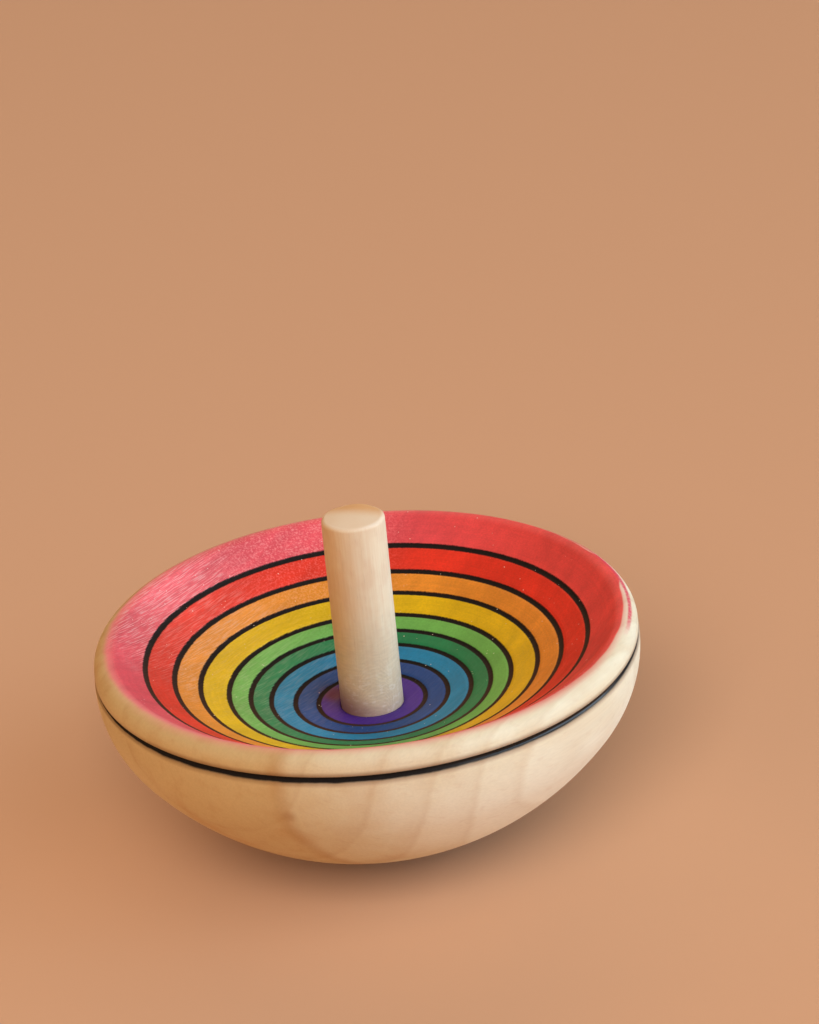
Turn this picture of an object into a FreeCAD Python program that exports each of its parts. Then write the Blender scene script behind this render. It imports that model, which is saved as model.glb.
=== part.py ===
"""A turned wooden spinning top: a heavy-bottomed bowl with a finger stem glued through it.

The spin axis is +Z and the origin is the lowest point of the stem's rounded tip. Every length is in mm.
The bowl is one revolved blank: a belly that is part of a large sphere, a tighter shoulder, a rounded lip
and a shallow dish. One line is turned round the outside and eight thin ones round the dish. The stem is
a straight dowel with a crowned upper end and a domed tip that stands proud of the belly.
"""
import FreeCAD
import Part
import Sketcher
import math
import os

OUT = "parts"

# The driving dimensions: one row each in the sheet, in the order they are used.
DIMENSIONS = {
    # outside of the bowl
    "belly_bottom": 0.94,
    "belly_radius": 34.0,
    "shoulder_radius": 12.5,
    "body_radius": 29.8,
    "rim_line_height": 23.1,
    # lip and dish
    "lip_radius": 1.6,
    "lip_outer_radius": 29.7,
    "dish_radius": 44.0,
    "floor_height": 15.9,
    # the line round the outside, just under the lip: the cutter's tip radius and how deep it goes
    "rim_cutter_radius": 0.4,
    "rim_line_depth": 0.25,
    # the lines round the dish, from the widest to the narrowest
    "dish_cutter_radius": 0.5,
    "dish_line_depth": 0.1,
    "dish_line_1": 24.2,
    "dish_line_2": 21.2,
    "dish_line_3": 18.5,
    "dish_line_4": 15.5,
    "dish_line_5": 13.2,
    "dish_line_6": 11.0,
    "dish_line_7": 8.4,
    "dish_line_8": 5.9,
    # stem
    "stem_radius": 3.45,
    "stem_top": 38.8,
    "stem_edge_radius": 0.5,
    "stem_crown": 0.12,
    "tip_radius": 6.0,
}
DISH_LINES = [alias for alias in DIMENSIONS if alias.startswith("dish_line_") and alias != "dish_line_depth"]

# Sketcher's names for a point of a piece of geometry, and for the sketch's own origin and axes.
START, END, CENTRE = 1, 2, 3
ORIGIN = (-1, 1)
VERTICAL_AXIS = -2


def make_sheet(doc):
    """Write the driving dimensions into the document's spreadsheet."""
    sheet = doc.addObject("Spreadsheet::Sheet", "sizes")
    for row, (alias, value) in enumerate(DIMENSIONS.items(), start=1):
        sheet.set(f"A{row}", alias.replace("_", " "))
        sheet.set(f"B{row}", str(value))
        sheet.setAlias(f"B{row}", alias)
    doc.recompute()
    return sheet


def new_sketch(body, name, plane):
    """Start a sketch on one of the body's own origin planes."""
    sketch = body.newObject("Sketcher::SketchObject", name)
    support = next(item for item in body.Origin.OriginFeatures if item.Role == plane)
    sketch.AttachmentSupport = [(support, "")]
    sketch.MapMode = "FlatFace"
    return sketch


def point(radius, height):
    """A point of a profile: how far from the spin axis, and how high."""
    return FreeCAD.Vector(radius, height, 0)


def arc(centre, radius, start, end):
    """An arc that runs anticlockwise from the angle start to the angle end, in radians."""
    return Part.ArcOfCircle(Part.Circle(centre, FreeCAD.Vector(0, 0, 1), radius), start, end)


def drive(sketch, name, expression, kind, *items):
    """Add a dimension to the sketch and bind it to the sheet."""
    value = float(sketch.evalExpression(expression))
    index = sketch.addConstraint(Sketcher.Constraint(kind, *items, value))
    sketch.renameConstraint(index, name)
    sketch.setExpression(f"Constraints.{name}", expression)


def join(sketch, first, first_end, second, second_end, kind="Coincident"):
    """Join two ends of the outline, with or without a smooth tangent."""
    sketch.addConstraint(Sketcher.Constraint(kind, first, first_end, second, second_end))


def on_axis(sketch, item, which):
    """Keep a point of the outline on the spin axis."""
    sketch.addConstraint(Sketcher.Constraint("PointOnObject", item, which, VERTICAL_AXIS))


def revolve(body, name, kind, sketch):
    """Turn a sketch once round the spin axis, adding or cutting."""
    feature = body.newObject(kind, name)
    feature.Profile = (sketch, [""])
    feature.ReferenceAxis = (sketch, ["V_Axis"])
    feature.Angle = 360
    return feature


def bowl_outline(body, sheet):
    """The bowl's half section: belly, shoulder, flank, lip, dish and the spin axis."""
    belly_centre = point(0, sheet.belly_bottom + sheet.belly_radius)
    shoulder_reach = sheet.body_radius - sheet.shoulder_radius
    blend = math.acos(shoulder_reach / (sheet.belly_radius - sheet.shoulder_radius))
    shoulder_drop = (sheet.belly_radius - sheet.shoulder_radius) * math.sin(blend)
    shoulder_centre = point(shoulder_reach, belly_centre.y - shoulder_drop)
    flank_angle = math.asin((sheet.rim_line_height - shoulder_centre.y) / sheet.shoulder_radius)
    flank_foot = point(shoulder_reach + sheet.shoulder_radius * math.cos(flank_angle), sheet.rim_line_height)
    dish_centre = point(0, sheet.floor_height + sheet.dish_radius)
    lip_reach = sheet.lip_outer_radius - sheet.lip_radius
    lip_turn = math.acos(lip_reach / (sheet.dish_radius + sheet.lip_radius))
    lip_drop = (sheet.dish_radius + sheet.lip_radius) * math.sin(lip_turn)
    lip_centre = point(lip_reach, dish_centre.y - lip_drop)
    flank_top = point(sheet.lip_outer_radius, lip_centre.y)

    sketch = new_sketch(body, "bowl_section", "XZ_Plane")
    belly = sketch.addGeometry(arc(belly_centre, sheet.belly_radius, -math.pi / 2, -blend))
    shoulder = sketch.addGeometry(arc(shoulder_centre, sheet.shoulder_radius, -blend, flank_angle))
    flank = sketch.addGeometry(Part.LineSegment(flank_foot, flank_top))
    lip = sketch.addGeometry(arc(lip_centre, sheet.lip_radius, 0, math.pi - lip_turn))
    dish = sketch.addGeometry(arc(dish_centre, sheet.dish_radius, -math.pi / 2, -lip_turn))
    core = sketch.addGeometry(Part.LineSegment(point(0, sheet.floor_height), point(0, sheet.belly_bottom)))

    join(sketch, belly, END, shoulder, START, "Tangent")
    join(sketch, shoulder, END, flank, START)
    join(sketch, flank, END, lip, START)
    join(sketch, lip, END, dish, END, "Tangent")
    join(sketch, dish, START, core, START)
    join(sketch, core, END, belly, START)
    for item, which in ((belly, CENTRE), (belly, START), (dish, CENTRE), (dish, START)):
        on_axis(sketch, item, which)
    sketch.addConstraint(Sketcher.Constraint("Horizontal", lip, CENTRE, lip, START))
    drive(sketch, "belly_radius", "sizes.belly_radius", "Radius", belly)
    drive(sketch, "belly_bottom", "sizes.belly_bottom", "DistanceY", *ORIGIN, belly, START)
    drive(sketch, "shoulder_radius", "sizes.shoulder_radius", "Radius", shoulder)
    drive(sketch, "shoulder_reach", "sizes.body_radius - sizes.shoulder_radius",
          "DistanceX", *ORIGIN, shoulder, CENTRE)
    drive(sketch, "flank_height", "sizes.rim_line_height", "DistanceY", *ORIGIN, flank, START)
    drive(sketch, "lip_radius", "sizes.lip_radius", "Radius", lip)
    drive(sketch, "lip_reach", "sizes.lip_outer_radius - sizes.lip_radius",
          "DistanceX", *ORIGIN, lip, CENTRE)
    drive(sketch, "dish_radius", "sizes.dish_radius", "Radius", dish)
    drive(sketch, "floor_height", "sizes.floor_height", "DistanceY", *ORIGIN, dish, START)
    return sketch


def round_cutter(sketch, name, radius, reach, height):
    """A round cutter's section, whose centre is held at a radius and a height given as expressions."""
    start = Part.Circle(point(sketch.evalExpression(reach), sketch.evalExpression(height)),
                        FreeCAD.Vector(0, 0, 1), sketch.evalExpression(radius))
    cutter = sketch.addGeometry(start)
    drive(sketch, f"{name}_size", radius, "Radius", cutter)
    drive(sketch, f"{name}_reach", reach, "DistanceX", *ORIGIN, cutter, CENTRE)
    drive(sketch, f"{name}_height", height, "DistanceY", *ORIGIN, cutter, CENTRE)


def make_bowl(doc, sheet):
    """The bowl, with its lines turned in and the hole for the stem bored through."""
    body = doc.addObject("PartDesign::Body", "bowl")
    body.Label = "bowl"
    blank = revolve(body, "bowl_blank", "PartDesign::Revolution", bowl_outline(body, sheet))
    doc.recompute()

    rim_sketch = new_sketch(body, "rim_line_section", "XZ_Plane")
    rim_reach = "sizes.body_radius + sizes.rim_cutter_radius - sizes.rim_line_depth"
    round_cutter(rim_sketch, "rim", "sizes.rim_cutter_radius", rim_reach, "sizes.rim_line_height")
    rim_line = revolve(body, "rim_line", "PartDesign::Groove", rim_sketch)
    doc.recompute()

    dish_sketch = new_sketch(body, "dish_line_sections", "XZ_Plane")
    path_radius = "(sizes.dish_radius - sizes.dish_cutter_radius + sizes.dish_line_depth)"
    for alias in DISH_LINES:
        height = (f"sizes.floor_height + sizes.dish_radius"
                  f" - sqrt({path_radius} * {path_radius} - sizes.{alias} * sizes.{alias})")
        round_cutter(dish_sketch, alias, "sizes.dish_cutter_radius", f"sizes.{alias}", height)
    dish_lines = revolve(body, "dish_lines", "PartDesign::Groove", dish_sketch)
    doc.recompute()

    bore_sketch = new_sketch(body, "bore_section", "XY_Plane")
    mouth = bore_sketch.addGeometry(Part.Circle(point(0, 0), FreeCAD.Vector(0, 0, 1), sheet.stem_radius))
    bore_sketch.addConstraint(Sketcher.Constraint("Coincident", mouth, CENTRE, *ORIGIN))
    drive(bore_sketch, "bore_radius", "sizes.stem_radius", "Radius", mouth)
    bore = body.newObject("PartDesign::Pocket", "stem_bore")
    bore.Profile = (bore_sketch, [""])
    bore.Type = "ThroughAll"
    bore.Reversed = True
    doc.recompute()
    check_cuts(blank, rim_line, dish_lines, bore)
    return body


def check_cuts(*features):
    """Stop if a cut in the chain removed nothing."""
    for before, after in zip(features, features[1:]):
        removed = before.Shape.Volume - after.Shape.Volume
        print(f"{after.Name} removes {removed:.2f} mm3")
        if removed < 0.1:
            raise RuntimeError(f"{after.Name} cuts nothing")


def make_stem(doc, sheet):
    """The stem: a straight dowel with a domed tip below and a crowned, rounded end above."""
    body = doc.addObject("PartDesign::Body", "stem")
    body.Label = "stem"
    tip_half_angle = math.asin(sheet.stem_radius / sheet.tip_radius)
    tip_height = sheet.tip_radius * (1 - math.cos(tip_half_angle))
    face_radius = sheet.stem_radius - sheet.stem_edge_radius
    edge_height = sheet.stem_top - sheet.stem_crown - sheet.stem_edge_radius
    crown_radius = (face_radius ** 2 + sheet.stem_crown ** 2) / (2 * sheet.stem_crown)
    crown_half_angle = math.asin(face_radius / crown_radius)

    sketch = new_sketch(body, "stem_section", "XZ_Plane")
    tip = sketch.addGeometry(arc(point(0, sheet.tip_radius), sheet.tip_radius,
                                 -math.pi / 2, -math.pi / 2 + tip_half_angle))
    side = sketch.addGeometry(Part.LineSegment(point(sheet.stem_radius, tip_height),
                                               point(sheet.stem_radius, edge_height)))
    edge = sketch.addGeometry(arc(point(face_radius, edge_height), sheet.stem_edge_radius, 0, math.pi / 2))
    crown = sketch.addGeometry(arc(point(0, sheet.stem_top - crown_radius), crown_radius,
                                   math.pi / 2 - crown_half_angle, math.pi / 2))
    core = sketch.addGeometry(Part.LineSegment(point(0, sheet.stem_top), point(0, 0)))

    join(sketch, tip, END, side, START)
    join(sketch, side, END, edge, START, "Tangent")
    join(sketch, edge, END, crown, START)
    join(sketch, crown, END, core, START)
    join(sketch, core, END, tip, START)
    for item, which in ((tip, CENTRE), (crown, CENTRE), (crown, END)):
        on_axis(sketch, item, which)
    sketch.addConstraint(Sketcher.Constraint("Coincident", tip, START, *ORIGIN))
    sketch.addConstraint(Sketcher.Constraint("Vertical", side))
    sketch.addConstraint(Sketcher.Constraint("Vertical", edge, CENTRE, edge, END))
    drive(sketch, "tip_radius", "sizes.tip_radius", "Radius", tip)
    drive(sketch, "stem_radius", "sizes.stem_radius", "DistanceX", *ORIGIN, side, START)
    drive(sketch, "edge_radius", "sizes.stem_edge_radius", "Radius", edge)
    drive(sketch, "face_height", "sizes.stem_top - sizes.stem_crown", "DistanceY", *ORIGIN, edge, END)
    drive(sketch, "stem_top", "sizes.stem_top", "DistanceY", *ORIGIN, crown, END)
    revolve(body, "stem_dowel", "PartDesign::Revolution", sketch)
    doc.recompute()
    return body


def check_document(doc, bodies):
    """Stop if any object failed to compute, or any piece isn't one valid solid."""
    for item in doc.Objects:
        if "Invalid" in item.State or "Error" in item.State:
            raise RuntimeError(f"{item.Name} failed: {item.State}")
    for sketch in doc.findObjects("Sketcher::SketchObject"):
        if not sketch.FullyConstrained:
            raise RuntimeError(f"{sketch.Name} isn't fully constrained")
    for body in bodies:
        shape = body.Shape
        if shape.isNull() or not shape.isValid() or len(shape.Solids) != 1:
            raise RuntimeError(f"{body.Label} isn't one valid solid")


def main():
    doc = FreeCAD.newDocument("spinning_top")
    sheet = make_sheet(doc)
    bodies = [make_bowl(doc, sheet), make_stem(doc, sheet)]
    doc.recompute()
    check_document(doc, bodies)
    os.makedirs(OUT, exist_ok=True)
    for body in bodies:
        body.Shape.exportStep(os.path.join(OUT, f"{body.Label}.step"))
        box = body.Shape.optimalBoundingBox(False)
        print(f"{body.Label}: {body.Shape.Volume / 1000:.2f} cm3, z {box.ZMin:.2f} to {box.ZMax:.2f},"
              f" width {box.XLength:.2f}")


main()
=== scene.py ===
"""Looks for the turned wooden spinning top: a dyed maple bowl and the straight maple stem glued through it.

Lengths are in mm in the tables, the outlines and the materials, and in metres in the meshes and the studio.
Both pieces are turned about +Z. The bowl's grain runs level, and the stem's runs along its axis.
"""

import math
from types import SimpleNamespace

import bpy
import numpy as np
from mathutils import Matrix, Vector


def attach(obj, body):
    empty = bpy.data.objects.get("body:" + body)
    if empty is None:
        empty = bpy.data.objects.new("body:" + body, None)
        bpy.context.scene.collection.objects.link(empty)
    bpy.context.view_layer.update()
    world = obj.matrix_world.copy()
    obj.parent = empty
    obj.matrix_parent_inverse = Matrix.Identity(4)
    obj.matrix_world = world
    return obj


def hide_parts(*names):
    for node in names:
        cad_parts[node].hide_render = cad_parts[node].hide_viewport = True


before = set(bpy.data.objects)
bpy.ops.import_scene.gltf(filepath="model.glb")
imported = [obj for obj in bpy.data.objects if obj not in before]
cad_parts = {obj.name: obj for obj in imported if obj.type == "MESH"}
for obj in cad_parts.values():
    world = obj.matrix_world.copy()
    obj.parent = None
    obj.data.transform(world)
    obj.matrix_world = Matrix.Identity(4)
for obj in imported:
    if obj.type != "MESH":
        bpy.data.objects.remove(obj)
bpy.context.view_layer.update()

MM = 0.001

# ---------------------------------------------------------------- sizes
BELLY_BOTTOM, BELLY_RADIUS = 0.94, 34.0
SHOULDER_RADIUS, BODY_RADIUS = 12.5, 29.795
RIM_LINE_Z, RIM_CUTTER, RIM_DEPTH = 23.1, 0.4, 0.25
LIP_RADIUS, LIP_OUTER = 1.6, 29.69
DISH_RADIUS, DISH_FLOOR = 44.0, 15.9
DISH_CUTTER, DISH_DEPTH = 0.5, 0.1
DISH_LINES = (24.2, 21.2, 18.5, 15.5, 13.2, 11.0, 8.4, 5.9)
BORE_RADIUS, BORE_EASE = 3.5, 0.07
STEM_RADIUS, STEM_TOP, STEM_BOTTOM = 3.445, 38.79, 0.005
STEM_EDGE, STEM_CROWN, TIP_RADIUS = 0.42, 0.12, 6.0

# How finely the meshes follow them: columns round the axis, and points along each stretch of an outline.
BOWL_COLUMNS, STEM_COLUMNS = 360, 144
BELLY_POINTS, SHOULDER_POINTS, FLANK_POINTS, LIP_POINTS = 44, 38, 15, 26
DISH_POINTS, DISH_LINE_POINTS, BORE_POINTS = 50, 9, 10
TIP_POINTS, HIDDEN_POINTS, EDGE_POINTS, CROWN_POINTS = 16, 20, 14, 14
STEM_ROW, STEM_ROW_GAP = 0.12, 0.05
# The shoulder stops this far short of the rim line, and the dish's plain points keep this many half widths
# away from the middle of a line.
GROOVE_GAP, LINE_MARGIN = 0.02, 1.15

# The worn edge at the stem's top: where it starts and over what distance it grows, down the side and
# across the end, and the most that it takes off inwards and downwards.
WEAR_REACH, WEAR_FADE = 1.4, 1.2
WEAR_FROM_RADIUS, WEAR_RADIUS_FADE = 1.2, 2.0
WEAR_IN, WEAR_DOWN = 0.06, 0.10

# ---------------------------------------------------------------- meshes


def lathe(name, outline, columns, wrap, shape=None):
    """Turn an outline of (radius, height) rows in mm into a closed mesh.

    With wrap the outline is a loop, as for a ring. Without it, its first and last rows are on the axis.
    shape, if given, moves the (rows, columns) grids of radius and height for each azimuth.
    """
    azimuth = np.arange(columns) * (2 * math.pi / columns)
    radius = np.repeat(outline[:, :1], columns, axis=1)
    height = np.repeat(outline[:, 1:], columns, axis=1)
    if shape is not None:
        radius, height = shape(radius, height, azimuth[None, :])
    grid = np.stack((radius * np.cos(azimuth), radius * np.sin(azimuth), height), axis=2) * MM
    rows = len(outline)
    column = np.arange(columns)
    beyond = (column + 1) % columns
    faces = []
    if wrap:
        vertices = grid.reshape(-1, 3)
        first = np.arange(rows)
        second = (first + 1) % rows
        ends = []
    else:
        inner = grid[1:-1]
        vertices = np.concatenate((inner.reshape(-1, 3), grid[0].mean(0)[None], grid[-1].mean(0)[None]))
        first = np.arange(rows - 3)
        second = first + 1
        low_pole, high_pole = len(vertices) - 2, len(vertices) - 1
        top = (rows - 3) * columns
        ends = [(low_pole, int(b), int(a)) for a, b in zip(column, beyond)]
        ends += [(high_pole, int(top + a), int(top + b)) for a, b in zip(column, beyond)]
    for lower, upper in zip(first * columns, second * columns):
        quads = np.stack((lower + column, lower + beyond, upper + beyond, upper + column), axis=1)
        faces.extend(map(tuple, quads.tolist()))
    mesh = bpy.data.meshes.new(name)
    mesh.from_pydata([tuple(v) for v in vertices.tolist()], [], faces + ends)
    mesh.update()
    mesh.shade_smooth()
    piece = bpy.data.objects.new(name, mesh)
    bpy.context.scene.collection.objects.link(piece)
    return piece


def round_points(centre, radius, angles):
    """Points of a circle in the half section."""
    return np.column_stack((centre[0] + radius * np.cos(angles), centre[1] + radius * np.sin(angles)))


def groove_depth(offset, cutter, depth):
    """How deep a round cutter has gone at an offset from the middle of its line."""
    reach = np.sqrt(np.maximum(cutter ** 2 - offset ** 2, 0.0))
    return np.maximum(reach - (cutter - depth), 0.0)


def bowl_outline():
    """The bowl's half section as a loop, from the lower edge of the bore round the outside to the bore."""
    belly_centre = (0.0, BELLY_BOTTOM + BELLY_RADIUS)
    reach = BODY_RADIUS - SHOULDER_RADIUS
    blend = math.acos(reach / (BELLY_RADIUS - SHOULDER_RADIUS))
    shoulder = (reach, belly_centre[1] - (BELLY_RADIUS - SHOULDER_RADIUS) * math.sin(blend))
    lip_reach = LIP_OUTER - LIP_RADIUS
    lip_turn = math.acos(lip_reach / (DISH_RADIUS + LIP_RADIUS))
    dish_centre = (0.0, DISH_FLOOR + DISH_RADIUS)
    lip = (lip_reach, dish_centre[1] - (DISH_RADIUS + LIP_RADIUS) * math.sin(lip_turn))

    belly_start = -math.acos((BORE_RADIUS + BORE_EASE) / BELLY_RADIUS)
    belly = round_points(belly_centre, BELLY_RADIUS, np.linspace(belly_start, -blend, BELLY_POINTS))

    groove_half = math.sqrt(RIM_CUTTER ** 2 - (RIM_CUTTER - RIM_DEPTH) ** 2)
    groove_low = RIM_LINE_Z - groove_half
    below_groove = math.asin((groove_low - GROOVE_GAP - shoulder[1]) / SHOULDER_RADIUS)
    turn_angles = np.linspace(-blend, below_groove, SHOULDER_POINTS)[1:]
    turn = round_points(shoulder, SHOULDER_RADIUS, turn_angles)
    flank_z = np.linspace(groove_low, RIM_LINE_Z + groove_half, FLANK_POINTS)
    foot = shoulder[0] + math.sqrt(SHOULDER_RADIUS ** 2 - (RIM_LINE_Z - shoulder[1]) ** 2)
    on_shoulder = shoulder[0] + np.sqrt(SHOULDER_RADIUS ** 2 - (flank_z - shoulder[1]) ** 2)
    share = np.clip((flank_z - RIM_LINE_Z) / (lip[1] - RIM_LINE_Z), 0, 1)
    flank_r = np.where(flank_z < RIM_LINE_Z, on_shoulder, foot + (LIP_OUTER - foot) * share)
    flank = np.column_stack((flank_r - groove_depth(flank_z - RIM_LINE_Z, RIM_CUTTER, RIM_DEPTH), flank_z))

    lip_arc = round_points(lip, LIP_RADIUS, np.linspace(0.0, math.pi - lip_turn, LIP_POINTS))

    line_angles = np.arcsin(np.array(DISH_LINES) / DISH_RADIUS)
    line_half = math.sqrt(DISH_CUTTER ** 2 - (DISH_CUTTER - DISH_DEPTH) ** 2) / DISH_RADIUS
    mouth = math.asin((BORE_RADIUS + BORE_EASE) / DISH_RADIUS)
    plain = np.linspace(math.pi / 2 - lip_turn, mouth, DISH_POINTS)[1:]
    clear = np.min(np.abs(plain[:, None] - line_angles), axis=1) > line_half * LINE_MARGIN
    cuts = (line_angles[:, None] + np.linspace(-1, 1, DISH_LINE_POINTS) * line_half).ravel()
    tilt = np.sort(np.concatenate((plain[clear], cuts)))[::-1]
    offset = np.min(np.abs(tilt[:, None] - line_angles), axis=1) * DISH_RADIUS
    dish_r = DISH_RADIUS + groove_depth(offset, DISH_CUTTER, DISH_DEPTH)
    dish = np.column_stack((dish_r * np.sin(tilt), dish_centre[1] - dish_r * np.cos(tilt)))

    bore_top, bore_low = dish[-1, 1] - BORE_EASE, belly[0, 1] + BORE_EASE
    bore_z = np.linspace(bore_top, bore_low, BORE_POINTS)
    bore = np.column_stack((np.full(BORE_POINTS, BORE_RADIUS), bore_z))
    return np.concatenate((belly, turn, flank, lip_arc, dish, bore))


def stem_outline():
    """The stem's half section, from the tip up the side to the crown, both ends on the axis."""
    tip_half = math.asin(STEM_RADIUS / TIP_RADIUS)
    tip = round_points((0.0, TIP_RADIUS + STEM_BOTTOM), TIP_RADIUS,
                       np.linspace(-math.pi / 2, -math.pi / 2 + tip_half, TIP_POINTS))
    face = STEM_RADIUS - STEM_EDGE
    edge_z = STEM_TOP - STEM_CROWN - STEM_EDGE
    hidden_z = np.linspace(tip[-1, 1], DISH_FLOOR, HIDDEN_POINTS)[1:]
    side_z = np.concatenate((hidden_z, np.arange(DISH_FLOOR + STEM_ROW, edge_z - STEM_ROW_GAP, STEM_ROW)))
    side = np.column_stack((np.full(len(side_z), STEM_RADIUS), side_z))
    edge = round_points((face, edge_z), STEM_EDGE, np.linspace(0.0, math.pi / 2, EDGE_POINTS))
    crown_r = np.linspace(face, 0.0, CROWN_POINTS)[1:]
    crown = np.column_stack((crown_r, STEM_TOP - STEM_CROWN * (crown_r / face) ** 2))
    return np.concatenate((tip, side, edge, crown))


def worn_stem(radius, height, azimuth):
    """A top edge that isn't rounded evenly: the wear comes and goes round the stem."""
    near_top = np.clip((height - (STEM_TOP - WEAR_REACH)) / WEAR_FADE, 0, 1)
    near_edge = near_top * np.clip((radius - WEAR_FROM_RADIUS) / WEAR_RADIUS_FADE, 0, 1)
    uneven = 0.5 + 0.5 * np.sin(azimuth * 2 + 0.7) * np.sin(azimuth * 3 - 1.1)
    return radius - WEAR_IN * near_edge * uneven, height - WEAR_DOWN * near_edge * uneven


bowl = lathe("turned_bowl", bowl_outline(), BOWL_COLUMNS, wrap=True)
stem = lathe("turned_stem", stem_outline(), STEM_COLUMNS, wrap=False, shape=worn_stem)

# ---------------------------------------------------------------- materials


def linear(red, green, blue):
    """A colour given as 0-255 screen values, as the linear RGBA that a shader takes."""
    values = [v / 255 for v in (red, green, blue)]
    return tuple(v / 12.92 if v <= 0.04045 else ((v + 0.055) / 1.055) ** 2.4 for v in values) + (1.0,)


class Graph:
    """Shorthand for a material's nodes: each call adds a node and returns what it gives out."""

    def __init__(self, name):
        self.material = bpy.data.materials.new(name)
        self.material.use_nodes = True
        self.nodes = self.material.node_tree.nodes
        self.links = self.material.node_tree.links
        self.shader = next(n for n in self.nodes if n.type == "BSDF_PRINCIPLED")

    def feed(self, socket, value):
        if isinstance(value, bpy.types.NodeSocket):
            self.links.new(value, socket)
        else:
            socket.default_value = value

    def add(self, kind, inputs, out=0, **settings):
        node = self.nodes.new(kind)
        for key, value in settings.items():
            setattr(node, key, value)
        for key, value in inputs.items():
            self.feed(node.inputs[key], value)
        return node.outputs[out]

    def math(self, operation, a, b=0.0):
        return self.add("ShaderNodeMath", {0: a, 1: b}, operation=operation)

    def plus(self, a, b):
        return self.math("ADD", a, b)

    def minus(self, a, b):
        return self.math("SUBTRACT", a, b)

    def times(self, a, b):
        return self.math("MULTIPLY", a, b)

    def most(self, a, b):
        return self.math("MAXIMUM", a, b)

    def size(self, a):
        return self.math("ABSOLUTE", a)

    def length(self, a, b):
        return self.math("SQRT", self.plus(self.times(a, a), self.times(b, b)))

    def fade(self, value, low, high, to_low=0.0, to_high=1.0):
        """Goes smoothly from to_low at low to to_high at high."""
        return self.add("ShaderNodeMapRange", {0: value, 1: low, 2: high, 3: to_low, 4: to_high},
                        interpolation_type="SMOOTHSTEP")

    def coordinates(self, turn=0.0):
        """Object coordinates in mm, turned about Z by -turn degrees."""
        place = self.add("ShaderNodeTexCoord", {}, out=3)
        return self.add("ShaderNodeMapping", {0: place, 2: (0.0, 0.0, -math.radians(turn)),
                                              3: (1 / MM,) * 3}, vector_type="POINT")

    def vector(self, x, y, z=0.0):
        return self.add("ShaderNodeCombineXYZ", {0: x, 1: y, 2: z})

    def parts(self, vector):
        node = self.nodes.new("ShaderNodeSeparateXYZ")
        self.links.new(vector, node.inputs[0])
        return node.outputs[0], node.outputs[1], node.outputs[2]

    def noise(self, vector, stretch=(1.0, 1.0, 1.0), scale=1.0, detail=2.0, rough=0.5):
        if stretch != (1.0, 1.0, 1.0):
            vector = self.add("ShaderNodeMapping", {0: vector, 3: stretch}, vector_type="POINT")
        return self.add("ShaderNodeTexNoise", {"Vector": vector, "Scale": scale, "Detail": detail,
                                               "Roughness": rough})

    def ramp(self, value, stops):
        """Goes in straight lines through the stops, each a place and a grey."""
        node = self.nodes.new("ShaderNodeValToRGB")
        self.feed(node.inputs[0], value)
        elements = node.color_ramp.elements
        while len(elements) < len(stops):
            elements.new(1.0)
        for element, (at, grey) in zip(elements, stops):
            element.position = at
            element.color = (grey, grey, grey, 1.0)
        return node.outputs[0]

    def mix(self, share, a, b, blend="MIX"):
        node = self.nodes.new("ShaderNodeMix")
        node.data_type = "RGBA"
        node.blend_type = blend
        node.clamp_factor = True
        self.feed(node.inputs[0], share)
        self.feed(node.inputs[6], a)
        self.feed(node.inputs[7], b)
        return node.outputs[2]

    def layer(self, colour, *layers):
        """The colour with others laid over it in turn, each given as its share and itself."""
        for share, over in layers:
            colour = self.mix(share, colour, over)
        return colour

    def shade(self, colour, *amounts):
        """The colour, made lighter or darker by each factor in turn."""
        for amount in amounts:
            colour = self.mix(1.0, colour, self.vector(amount, amount, amount), "MULTIPLY")
        return colour

    def as_wood(self, colour, rough, relief, depth):
        """Feed the shader and return the material. The relief stands up to depth mm high."""
        self.feed(self.shader.inputs["Base Color"], colour)
        self.feed(self.shader.inputs["Roughness"], rough)
        self.shader.inputs["Specular IOR Level"].default_value = WOOD_SPECULAR
        bump = self.add("ShaderNodeBump", {"Height": relief, "Distance": depth * MM, "Strength": 1.0})
        self.feed(self.shader.inputs["Normal"], bump)
        return self.material


WOOD_SPECULAR = 0.35

# The bowl's blank: its grain runs along GRAIN_AZIMUTH, and its growth rings lie round a level pith.
GRAIN_AZIMUTH = 52.0
PITH_Z = 26.6
RING_SPAN = 32.0
RINGS = (12.2, 18.7, 22.8, 25.9, 28.4, 30.3)
# A ring darkens slowly outwards and ends more sharply: distance from its dark edge, and darkness.
RING_SHAPE = ((-1.5, 0.05), (-0.4, 0.5), (0.0, 1.0), (0.35, 0.0))
# Across the grain: the dark streak where the heartwood ends, and where the sapwood starts and is full.
HEART_SHEET = -9.3
SAPWOOD_FROM, SAPWOOD_FULL = -14.0, -24.0
KNOT_X, KNOT_Z, KNOT_RADIUS = -9.3, 18.4, 1.1
BOWL_RELIEF = 0.024
# The dish and the lip are above this cone, and the belly is below it.
CONE_FOOT, CONE_SLOPE = 8.0, 0.5
# Where the grain lies along the dish: the middle of the stretch, and how far from it torn fibres and
# the painted sheen start to fade and are gone.
TORN_MIDDLE, TORN_FROM, TORN_TO = -4.5, 7.0, 15.5
PAINTED_SHEEN_MIDDLE, PAINTED_SHEEN_FROM, PAINTED_SHEEN_TO = -2.5, 2.0, 12.0

PALE, CREAM, HONEY = linear(240, 234, 207), linear(237, 228, 197), linear(219, 193, 138)
SMUDGE, MOTTLE, SAPWOOD = linear(204, 156, 100), linear(190, 134, 74), linear(252, 248, 226)
# Painted light and shade: a lighter cream for bounce light low on the left, and a brown for contact shade
# under the belly.
LEFT_BOUNCE_CREAM, CONTACT_SHADE_BROWN = linear(238, 216, 176), linear(158, 100, 52)
RING, STREAK = linear(194, 152, 98), linear(176, 122, 72)
KNOT, RAY = linear(166, 108, 58), linear(196, 150, 104)

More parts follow.
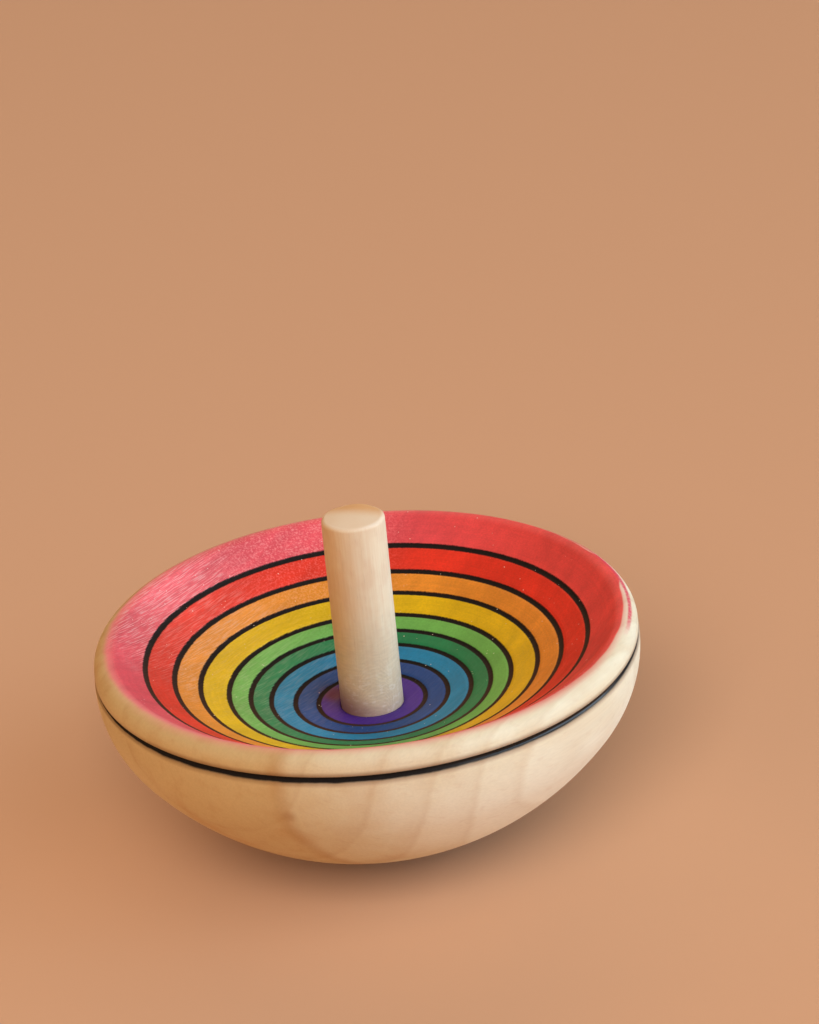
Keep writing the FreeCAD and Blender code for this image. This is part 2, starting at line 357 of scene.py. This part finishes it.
# The dye bands from the rim to the stem: colour, and how much pale torn fibre shows through it.
BANDS = (
    (linear(240, 90, 104), 0.70),
    (linear(236, 58, 38), 0.30),
    (linear(238, 154, 50), 0.42),
    (linear(234, 198, 14), 0.12),
    (linear(114, 194, 92), 0.25),
    (linear(28, 138, 86), 0.22),
    (linear(0, 140, 190), 0.17),
    (linear(0, 74, 148), 0.11),
    (linear(70, 38, 152), 0.06),
)
# A deeper pink that paints shade on the right of the outer band, and a dark red patch by the stem.
DEEP_PINK_RIGHT_SHADE, DARK_RED_PATCH = linear(238, 76, 64), linear(104, 34, 44)
FIBRE_WHITE, LEFT_GREY = linear(255, 240, 236), linear(214, 214, 206)
PATCH_X, PATCH_Y, PATCH_RADIUS = -4.0, 2.4, 2.4

# Where the dye stops on the lip: radii about its own centre. It ends more sharply on the right.
DYE_CENTRE = (-0.1, 0.6)
THIN_FROM, THIN_TO = 27.1, 28.3
DYE_FADES_LEFT, DYE_FADES_RIGHT = 27.9, 28.22
DYE_ENDS_LEFT, DYE_ENDS_RIGHT = 28.65, 28.46
FRINGE_FROM, FRINGE_TO = 28.2, 29.2
# The line of dye that is left further out, about the axis.
RESIDUE_RADIUS = 28.9
RESIDUE_CORE, RESIDUE_EDGE = 0.08, 0.30
THIN_DYE, DYE_FRINGE, RESIDUE = linear(246, 160, 158), linear(238, 120, 128), linear(224, 58, 96)

# The lines: how far from the middle each is solid, and where it is gone. The dish's are browner in front.
LINE_CORE, LINE_EDGE = 0.22, 0.35
RIM_CORE, RIM_EDGE = 0.25, 0.42
HALO_CORE, HALO_EDGE = 0.3, 1.0
BACK_INK, FRONT_INK = linear(15, 10, 8), linear(62, 38, 25)
RIM_INK, RIM_HALO = linear(14, 10, 9), linear(130, 80, 42)
OUTSIDE_RADIUS = 28.9
DUST = linear(250, 240, 228)
SPECKS_PER_MM, LARGEST_SPECK, SPECK_EDGE = 1.6, 0.125, 0.03


def ring_stops():
    """The growth rings from the pith outwards, each stop a share of RING_SPAN and a darkness."""
    stops = [(0.0, 0.1)]
    for ring in RINGS:
        stops += [((ring + offset) / RING_SPAN, darkness) for offset, darkness in RING_SHAPE]
    return stops


def bowl_points(g):
    """What holds at each point of the bowl: its place, the patterns in the wood there, and where the
    painted sheen goes.
    """
    at = SimpleNamespace()
    at.place = g.coordinates()
    at.x, at.y, at.z = g.parts(at.place)
    at.r = g.length(at.x, at.y)
    at.azimuth = g.math("ARCTAN2", at.y, at.x)
    grain = g.coordinates(turn=GRAIN_AZIMUTH)
    at.along, at.across, up = g.parts(grain)
    at.in_dish = g.math("GREATER_THAN", at.z, g.plus(CONE_FOOT, g.times(at.r, CONE_SLOPE)))

    at.fibre = g.noise(grain, (0.12, 4.6, 4.6), detail=1.5)
    at.broad = g.noise(grain, (0.035, 0.55, 0.55), detail=3.0)
    at.cloud = g.noise(at.place, scale=0.11, detail=3.0, rough=0.55)
    at.clump = g.noise(at.place, scale=0.55, detail=2.0)
    at.grit = g.noise(at.place, scale=4.2, detail=2.0, rough=0.7)

    wander = g.times(g.minus(g.noise(grain, (0.035, 0.12, 0.12), detail=2.0), 0.5), 1.6)
    from_pith = g.minus(up, PITH_Z)
    ring_radius = g.plus(g.length(at.across, from_pith), wander)
    at.rings = g.ramp(g.math("DIVIDE", ring_radius, RING_SPAN), ring_stops())
    around_pith = g.times(g.math("ARCTAN2", from_pith, at.across), 45.0)
    ray_place = g.vector(g.times(at.along, 0.8), around_pith, g.times(ring_radius, 0.35))
    at.rays = g.fade(g.noise(ray_place, detail=1.0), 0.60, 0.72)
    at.heart_edge = g.plus(at.across, g.times(wander, 0.8))
    at.streak_line = g.fade(g.size(g.minus(at.heart_edge, HEART_SHEET)), 0.0, 1.5, 0.24, 0.0)

    # Where the grain runs along the surface the tool has torn it into fine pale fibres.
    # They lie along the grain, so they run round the middle of the dish's ball like lines of longitude.
    at.level_grain = g.fade(g.size(g.minus(at.along, TORN_MIDDLE)), TORN_FROM, TORN_TO, 1.0, 0.0)
    at.torn = g.times(at.level_grain, g.fade(at.across, -6.0, 9.0, 0.12, 1.0))
    # A painted sheen: lighter where the grain lies level on one side of the dish, as where light glances
    # off it.
    near_middle = g.fade(g.size(g.minus(at.along, PAINTED_SHEEN_MIDDLE)), PAINTED_SHEEN_FROM, PAINTED_SHEEN_TO, 1.0, 0.0)
    at.sheen = g.times(near_middle, g.fade(at.across, 0.0, 8.0))
    longitude = g.times(g.math("ARCTAN2", at.across, g.minus(DISH_FLOOR + DISH_RADIUS, at.z)), DISH_RADIUS)
    at.strand = g.noise(g.vector(g.times(at.along, 0.5), g.times(longitude, 7.6)), detail=1.0)
    return at


def bowl_wood(g, at):
    """Bare wood: golden heartwood on one side of a thin dark streak, pale sapwood on the other, with
    painted bounce light low on the left and painted contact shade under the belly.
    """
    golden = g.plus(g.fade(at.heart_edge, HEART_SHEET - 1.8, HEART_SHEET + 0.9, 0.0, 0.45),
                    g.fade(at.heart_edge, HEART_SHEET - 11.0, HEART_SHEET - 1.0, 0.0, 0.55))
    smudged = g.times(g.fade(at.cloud, 0.46, 0.72), g.plus(g.times(golden, 0.32), 0.22))
    mottled = g.times(g.fade(at.clump, 0.5, 0.72), g.plus(g.times(golden, 0.12), 0.03))
    sapwood = g.times(g.fade(at.heart_edge, SAPWOOD_FROM, SAPWOOD_FULL), g.fade(at.z, 24.5, 14.0))
    # Painted bounce light: the wood low on the left is lighter, as if lit from the floor beside it.
    painted_left_bounce = g.times(g.fade(at.x, -19.0, -26.0), g.fade(at.z, 22.0, 17.0))
    from_knot = g.length(g.minus(at.x, KNOT_X), g.minus(at.z, KNOT_Z))
    knot = g.times(g.fade(from_knot, 0.0, KNOT_RADIUS, 0.42, 0.0), g.math("LESS_THAN", at.y, 0.0))
    # Painted contact shade: the belly turns darker and browner low down on the left.
    painted_contact_shade = g.times(g.fade(at.z, 11.0, 3.0), g.fade(at.x, 8.0, -8.0))

    wood = g.layer(PALE, (g.fade(at.broad, 0.3, 0.75), CREAM), (g.times(golden, 0.92), HONEY),
                   (smudged, SMUDGE), (mottled, MOTTLE), (g.times(sapwood, 0.95), SAPWOOD),
                   (g.times(painted_left_bounce, 0.3), LEFT_BOUNCE_CREAM), (g.times(at.rings, 0.20), RING),
                   (at.streak_line, STREAK), (knot, KNOT), (g.times(at.rays, 0.08), RAY))
    wood = g.shade(wood, g.fade(at.fibre, 0.25, 0.75, 0.97, 1.02))
    return g.layer(wood, (g.times(painted_contact_shade, 0.45), CONTACT_SHADE_BROWN))


def frayed_radius(g, at):
    """The distance from the axis, made ragged: the edges of the bands and the lines follow it."""
    fray = g.times(g.minus(g.noise(at.place, scale=5.0, detail=1.0), 0.5), 0.10)
    bleed = g.times(g.times(g.minus(at.strand, 0.5), 0.16), at.torn)
    drift = g.times(g.minus(at.cloud, 0.5), 0.10)
    return g.plus(at.r, g.plus(fray, g.plus(bleed, drift)))


def dish_dye(g, at, edge_r):
    """The dye in the dish: nine bands, with the wood's figure and its torn pale fibres showing through, a
    painted sheen, and painted shade as a deeper pink on the right.
    """
    dye, pale_fibre = BANDS[0]
    for line, (colour, showing) in zip(DISH_LINES, BANDS[1:]):
        inside = g.math("LESS_THAN", edge_r, line)
        dye = g.mix(inside, dye, colour)
        pale_fibre = g.plus(g.times(inside, showing), g.times(g.minus(1.0, inside), pale_fibre))
    # Painted shade: the outer band turns a deeper, warmer pink towards the right, where its wall faces away
    # from the light.
    outer_band = g.math("GREATER_THAN", at.r, DISH_LINES[0])
    # A dark red patch in the purple, just left of the stem.
    from_patch = g.length(g.minus(at.x, PATCH_X), g.minus(at.y, PATCH_Y))
    dye = g.layer(dye, (g.times(g.fade(at.x, -6.0, 22.0, 0.0, 0.7), outer_band), DEEP_PINK_RIGHT_SHADE),
                  (g.fade(from_patch, 0.5, PATCH_RADIUS, 0.75, 0.0), DARK_RED_PATCH))

    turning = g.noise(g.vector(g.times(at.r, 5.0), g.times(at.azimuth, 1.2)), detail=2.0)
    # The last of these factors is the painted sheen, which lightens the dye.
    dye = g.shade(dye, g.fade(at.cloud, 0.3, 0.7, 0.90, 1.08), g.fade(at.broad, 0.25, 0.75, 1.06, 0.92),
                  g.minus(1.0, g.times(at.rings, 0.07)), g.minus(1.0, g.times(at.streak_line, 0.2)),
                  g.fade(turning, 0.3, 0.7, 0.97, 1.03), g.fade(at.grit, 0.25, 0.75, 0.93, 1.07),
                  g.plus(1.0, g.times(at.sheen, 0.18)))

    streaked = g.times(g.times(at.torn, pale_fibre), g.fade(at.clump, 0.3, 0.6, 0.7, 1.0))
    dye = g.shade(dye, g.plus(1.0, g.times(streaked, g.fade(at.strand, 0.3, 0.5, -0.22, 0.0))))
    # Torn fibres stand out pale: partly their own colour, partly a painted highlight where they catch the
    # light.
    fibres_and_glint = g.times(g.fade(at.strand, 0.46, 0.66), streaked)
    cross_grain = g.times(g.minus(1.0, at.level_grain), g.fade(g.plus(at.along, at.across), 2.0, 16.0))
    at_back = g.times(g.fade(at.across, 2.0, 12.0, 0.0, 0.6), g.fade(at.x, 0.0, 7.0, 1.0, 0.0))
    fuzz = g.times(g.times(g.fade(at.grit, 0.46, 0.66), pale_fibre), g.times(cross_grain, at_back))
    # The painted sheen also pales the dye a little.
    painted_sheen_pale = g.times(g.times(at.sheen, pale_fibre), 0.18)
    dye = g.mix(g.plus(g.plus(fibres_and_glint, fuzz), painted_sheen_pale), dye, g.mix(0.5, dye, FIBRE_WHITE))

    # Towards the left the dye is a little greyer and darker.
    greyer_left = g.fade(at.x, -6.0, -24.0)
    dye = g.mix(g.times(greyer_left, 0.015), dye, LEFT_GREY)
    return g.shade(dye, g.fade(greyer_left, 0.0, 1.0, 1.0, 0.90))


def lay_dye(g, at, wood, dye):
    """Lay the dye on the wood as far as the lip. Returns the surface, and where it is dyed."""
    wobble = g.times(g.minus(g.noise(at.place, scale=0.4), 0.5), g.fade(at.x, 0.0, 16.0, 0.4, 0.22))
    dye_r = g.plus(g.length(g.minus(at.x, DYE_CENTRE[0]), g.minus(at.y, DYE_CENTRE[1])), wobble)
    bulge = g.times(g.fade(at.azimuth, 0.08, 0.20), g.fade(at.azimuth, 0.38, 0.47, 0.5, 0.0))
    dye_r = g.minus(dye_r, bulge)
    thin = g.times(g.fade(dye_r, THIN_FROM, THIN_TO, 0.0, 0.55), g.fade(at.x, 0.0, 16.0, 1.0, 0.0))
    dye = g.mix(thin, dye, THIN_DYE)
    edge_start = g.fade(at.x, -6.0, 14.0, DYE_FADES_LEFT, DYE_FADES_RIGHT)
    edge_end = g.fade(at.x, -6.0, 14.0, DYE_ENDS_LEFT, DYE_ENDS_RIGHT)
    dyed = g.times(at.in_dish, g.fade(dye_r, edge_start, edge_end, 1.0, 0.0))

    in_front = g.times(g.fade(at.y, -8.0, -22.0), 0.4)
    fringe_share = g.plus(g.fade(at.x, 0.0, 16.0, 0.12, 0.42), in_front)
    fringe_end = g.plus(FRINGE_TO, in_front)
    fringe = g.times(at.in_dish, g.fade(dye_r, FRINGE_FROM, fringe_end, fringe_share, 0.0))

    # the line that is left further out, on the right side only
    from_residue = g.size(g.minus(g.plus(at.r, g.times(wobble, 0.5)), RESIDUE_RADIUS))
    on_right = g.times(g.fade(at.azimuth, -0.32, -0.12), g.fade(at.azimuth, 0.62, 0.85, 1.0, 0.0))
    patchy = g.fade(g.noise(at.place, scale=2.6, detail=1.0), 0.34, 0.55, 0.6, 0.9)
    residue = g.fade(from_residue, RESIDUE_CORE, RESIDUE_EDGE, 1.0, 0.0)
    residue = g.times(residue, g.times(on_right, at.in_dish))
    surface = g.layer(wood, (fringe, DYE_FRINGE), (dyed, dye), (g.times(residue, patchy), RESIDUE))
    return surface, dyed


def ruled_lines(g, at, edge_r):
    """Where the black lines of the dish are."""
    lines = 0.0
    for line in DISH_LINES:
        one = g.fade(g.size(g.minus(edge_r, line)), LINE_CORE, LINE_EDGE, 1.0, 0.0)
        lines = g.most(one, lines)
    return g.times(lines, at.in_dish)


def rim_line(g, at):
    """The line round the outside, which is thinner at both sides, and the scorched wood beside it."""
    offset = g.size(g.plus(g.minus(at.z, RIM_LINE_Z), g.times(g.minus(at.broad, 0.5), 0.14)))
    narrowing = g.times(g.fade(at.x, -29.0, -20.0, 1.5, 1.0), g.fade(at.x, 18.0, 28.0, 1.0, 1.15))
    offset = g.times(offset, narrowing)
    outside = g.math("GREATER_THAN", at.r, OUTSIDE_RADIUS)
    halo = g.times(g.fade(offset, HALO_CORE, HALO_EDGE, 0.55, 0.0), outside)
    groove = g.times(g.fade(offset, RIM_CORE, RIM_EDGE, 1.0, 0.0), outside)
    return groove, halo


def dust_specks(g, at):
    """Pale dust, in specks of uneven size that come and go in patches."""
    from_speck = g.add("ShaderNodeTexVoronoi", {"Vector": at.place, "Scale": SPECKS_PER_MM})
    speck_size = g.fade(g.noise(at.place, scale=0.9, detail=0.0), 0.48, 0.74, 0.0, LARGEST_SPECK)
    return g.fade(g.minus(speck_size, from_speck), 0.0, SPECK_EDGE)


def bowl_material():
    g = Graph("bowl_maple_look")
    at = bowl_points(g)
    edge_r = frayed_radius(g, at)
    surface, dyed = lay_dye(g, at, bowl_wood(g, at), dish_dye(g, at, edge_r))
    lines = ruled_lines(g, at, edge_r)
    groove, halo = rim_line(g, at)
    ink = g.mix(g.fade(at.y, 8.0, -10.0), BACK_INK, FRONT_INK)
    dust = g.times(dust_specks(g, at), dyed)
    surface = g.layer(surface, (lines, ink), (halo, RIM_HALO), (groove, RIM_INK),
                      (g.times(dust, 0.8), DUST))

    # The dish's lines are dull. The rim line is dull too, but polished on the right.
    polished = g.times(g.fade(at.x, 2.0, 16.0), g.fade(at.x, 27.5, 24.0))
    rough = g.plus(g.fade(at.fibre, 0.3, 0.75, 0.62, 0.50), g.times(lines, 0.25))
    rough = g.plus(rough, g.times(groove, g.minus(0.3, g.times(polished, 0.64))))
    relief = g.plus(g.times(at.fibre, 0.25), g.times(g.times(at.strand, at.in_dish), at.torn))
    return g.as_wood(surface, rough, g.minus(relief, g.times(at.rings, 0.2)), BOWL_RELIEF)


# The stem's rings slope along FIGURE_AZIMUTH, so they show as nested arches on that side.
FIGURE_AZIMUTH = -80.0
RING_SLOPE, RING_STEP = 3.2, 0.45
STEM_RELIEF = 0.014
STEM_DARK, STEM_PALE = linear(238, 224, 192), linear(243, 233, 204)
# Of these, the gold paints warm shade on the left side and the grey paints the dish's cool reflection low
# down.
STEM_CLOUD, SHADED_LEFT_GOLD, PAINTED_DISH_GREY = linear(214, 174, 136), linear(217, 176, 106), linear(214, 208, 186)
SCUFF, FOOT_SHADE = linear(248, 243, 230), linear(118, 78, 98)
# End grain near and far, the far colour partly a painted warm reflection, and a painted highlight for the
# top edge.
END_NEAR, END_BACK_REFLECTED, EDGE_HIGHLIGHT = linear(237, 220, 194), linear(224, 170, 106), linear(250, 236, 214)
TOP_EDGE_RADIUS = 3.2


def stem_side(g, place, x, z, fibre):
    """Long grain, with slanting rings and scuffs on one side, painted warm shade on the left, and a painted
    cool reflection of the dish low down.
    """
    ahead = g.parts(g.coordinates(turn=FIGURE_AZIMUTH))[0]
    lower = g.fade(z, 30.0, 22.0)
    wander = g.times(g.minus(g.noise(place, (0.6, 0.6, 0.4), detail=1.0), 0.5), 1.8)
    slant = g.plus(g.minus(z, g.times(ahead, RING_SLOPE)), wander)
    ring_wave = g.math("SINE", g.times(slant, 2 * math.pi / RING_STEP))
    figured = g.times(g.fade(z, 25.0, 20.0), g.fade(ahead, 2.6, 3.3))
    pores = g.fade(g.noise(place, (6.0, 6.0, 0.7), detail=1.0), 0.62, 0.74)
    cloud = g.noise(place, (0.5, 0.5, 0.3), detail=3.0)
    clouded = g.times(g.fade(cloud, 0.44, 0.66), g.fade(ahead, 2.6, -1.5, 0.20, 0.36))
    # Painted shade: the stem's left side, away from the light, is warmer and more golden.
    painted_left_shade = g.times(g.fade(x, -0.5, -3.4), g.fade(z, 32.0, 26.0, 0.42, 0.6))
    dashes = g.noise(place, (0.9, 0.9, 4.0), detail=1.0)
    scuff = g.fade(g.noise(place, (1.3, 1.3, 2.6), detail=2.0), 0.52, 0.66)
    scuffed = g.times(scuff, g.times(g.fade(z, 23.5, 18.0), g.fade(ahead, 0.6, 3.0)))

    # The grey on the lower part is a painted reflection of the dish.
    wood = g.layer(STEM_DARK, (g.fade(fibre, 0.3, 0.7), STEM_PALE), (clouded, STEM_CLOUD),
                   (painted_left_shade, SHADED_LEFT_GOLD), (g.times(lower, 0.4), PAINTED_DISH_GREY))
    wood = g.shade(wood, g.plus(1.0, g.times(g.times(ring_wave, figured), 0.035)),
                   g.minus(1.0, g.times(pores, 0.06)),
                   g.plus(1.0, g.times(g.times(g.minus(dashes, 0.5), lower), 0.22)))
    return g.layer(wood, (g.times(scuffed, 0.6), SCUFF))


def stem_material():
    g = Graph("stem_maple_look")
    place = g.coordinates()
    x, y, z = g.parts(place)
    fibre = g.noise(place, (3.4, 3.4, 0.13), detail=3.0, rough=0.6)
    wood = stem_side(g, place, x, z, fibre)

    # end grain on top, warmer orange towards the back partly as a painted warm reflection, a painted
    # highlight along the rounded edge in front, and painted shade from the dish at the foot
    on_top = g.fade(z, STEM_TOP - 0.4, STEM_TOP - 0.15)
    # The end grain turns orange towards the back: partly the wood, partly a painted warm reflection.
    end_grain_and_reflection = g.mix(g.fade(g.plus(y, g.times(x, 0.3)), -0.6, 2.3, 0.0, 0.95), END_NEAR, END_BACK_REFLECTED)
    # A painted highlight along the front of the rounded top edge.
    painted_edge_highlight = g.fade(g.size(g.minus(g.length(x, y), TOP_EDGE_RADIUS)), 0.05, 0.35, 1.0, 0.0)
    painted_edge_highlight = g.times(painted_edge_highlight, g.fade(z, STEM_TOP - 1.0, STEM_TOP - 0.4))
    shade_top = g.fade(x, 1.5, -3.0, DISH_FLOOR + 1.6, DISH_FLOOR + 4.8)
    at_foot = g.times(g.fade(z, shade_top, DISH_FLOOR + 0.1), g.fade(x, 2.5, -3.0, 0.2, 0.75))
    wood = g.layer(wood, (g.times(on_top, 0.85), end_grain_and_reflection),
                   (g.times(painted_edge_highlight, g.fade(y, 2.0, -1.0, 0.0, 0.35)), EDGE_HIGHLIGHT), (at_foot, FOOT_SHADE))
    return g.as_wood(wood, g.fade(fibre, 0.3, 0.75, 0.6, 0.5), fibre, STEM_RELIEF)


for piece, material, node, slot in ((bowl, bowl_material(), "bowl", "bowl_maple"),
                                    (stem, stem_material(), "stem", "stem_maple")):
    piece.data.materials.append(material)
    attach(piece, "root")
    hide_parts(node)

# ---------------------------------------------------------------- floor, light and camera

FLOOR_RADIUS, FLOOR_COLUMNS, FLOOR_ROUGHNESS = 1.2, 96, 0.9
FLOOR_COLOUR = linear(164, 130, 102)

LAMP_DISTANCE, LAMP_AIM = 1.8, (0, 0, 0.015)
LAMP_SIZE, FILL_SIZE = 1.5, 1.0
COOL, PEACH, SAND = (0.93, 1.145, 1.356), (1.0, 0.642, 0.384), (1.0, 0.838, 0.725)
# name, azimuth, elevation, power, colour
LAMPS = (
    ("key", -42, 32, 13.6, COOL),
    ("window", 0, 12, 22.0, COOL),
    ("left_bounce", 180, 12, 9.5, PEACH),
    ("corner_bounce", -150, 36, 5.0, PEACH),
    ("back_bounce", 90, 38, 10.4, PEACH),
    ("front_bounce", -80, 50, 13.5, PEACH),
)

ROOM_COLOUR, ROOM_LIGHT, ROOM_SEEN = linear(239, 184, 142), 0.03, 0.62

CAMERA_PLACE = (0.00612, -0.35593, 0.20615)
CAMERA_FORWARD, CAMERA_RIGHT = (0.0, 0.9046, -0.4262), (0.9951, -0.0421, -0.0895)
SENSOR_WIDTH, LENS = 36.0, 128.96
CLIP_START, CLIP_END = 0.01, 20.0


def make_floor():
    bpy.ops.mesh.primitive_circle_add(vertices=FLOOR_COLUMNS, radius=FLOOR_RADIUS, fill_type="NGON",
                                      location=(0, 0, 0))
    made = bpy.context.object
    made.name = "floor"
    paper = Graph("floor_paper")
    paper.shader.inputs["Base Color"].default_value = FLOOR_COLOUR
    paper.shader.inputs["Roughness"].default_value = FLOOR_ROUGHNESS
    made.data.materials.append(paper.material)
    return made


def softbox(name, azimuth, elevation, power, colour, size=LAMP_SIZE):
    """A square lamp that faces the top. Azimuth is from +X towards +Y, in degrees."""
    lamp = bpy.data.lights.new(name, "AREA")
    lamp.size = size
    lamp.energy = power
    lamp.color = colour
    box = bpy.data.objects.new(name, lamp)
    bpy.context.scene.collection.objects.link(box)
    a, e = math.radians(azimuth), math.radians(elevation)
    back = Vector((math.cos(a) * math.cos(e), math.sin(a) * math.cos(e), math.sin(e)))
    box.location = Vector(LAMP_AIM) + back * LAMP_DISTANCE
    box.rotation_euler = back.to_track_quat("Z", "Y").to_euler()
    box.visible_camera = False
    return box


def make_room():
    """The camera sees a pale room beyond the floor, but the room gives the top only a little light."""
    world = bpy.data.worlds.new("studio")
    bpy.context.scene.world = world
    world.use_nodes = True
    nodes, links = world.node_tree.nodes, world.node_tree.links
    background = nodes["Background"]
    background.inputs["Color"].default_value = ROOM_COLOUR
    seen = nodes.new("ShaderNodeLightPath").outputs["Is Camera Ray"]
    strength = nodes.new("ShaderNodeMapRange")
    strength.inputs["To Min"].default_value = ROOM_LIGHT
    strength.inputs["To Max"].default_value = ROOM_SEEN
    links.new(seen, strength.inputs["Value"])
    links.new(strength.outputs["Result"], background.inputs["Strength"])


def make_camera():
    """A long lens that looks down at the top, turned a little about its own line of sight."""
    forward = Vector(CAMERA_FORWARD).normalized()
    upward = Vector(CAMERA_RIGHT).normalized().cross(forward).normalized()
    right = forward.cross(upward)
    data = bpy.data.cameras.new("camera")
    data.sensor_fit = "AUTO"
    data.sensor_width = SENSOR_WIDTH
    data.lens = LENS
    data.clip_start = CLIP_START
    data.clip_end = CLIP_END
    made = bpy.data.objects.new("camera", data)
    bpy.context.scene.collection.objects.link(made)
    turned = Matrix((right, upward, -forward)).transposed().to_4x4()
    made.matrix_world = Matrix.Translation(CAMERA_PLACE) @ turned
    return made


floor = make_floor()
for row in LAMPS:
    softbox(*row)

# A lamp in front lights only the floor, so that the shadow beside the top stays soft.
floor_only = bpy.data.collections.new("floor_only")
floor_only.objects.link(floor)
floor_fill = softbox("floor_fill", -98, 38, 40.5, SAND, size=FILL_SIZE)
floor_fill.light_linking.receiver_collection = floor_only

make_room()
bpy.context.scene.camera = make_camera()
bpy.context.scene.view_settings.view_transform = "Standard"
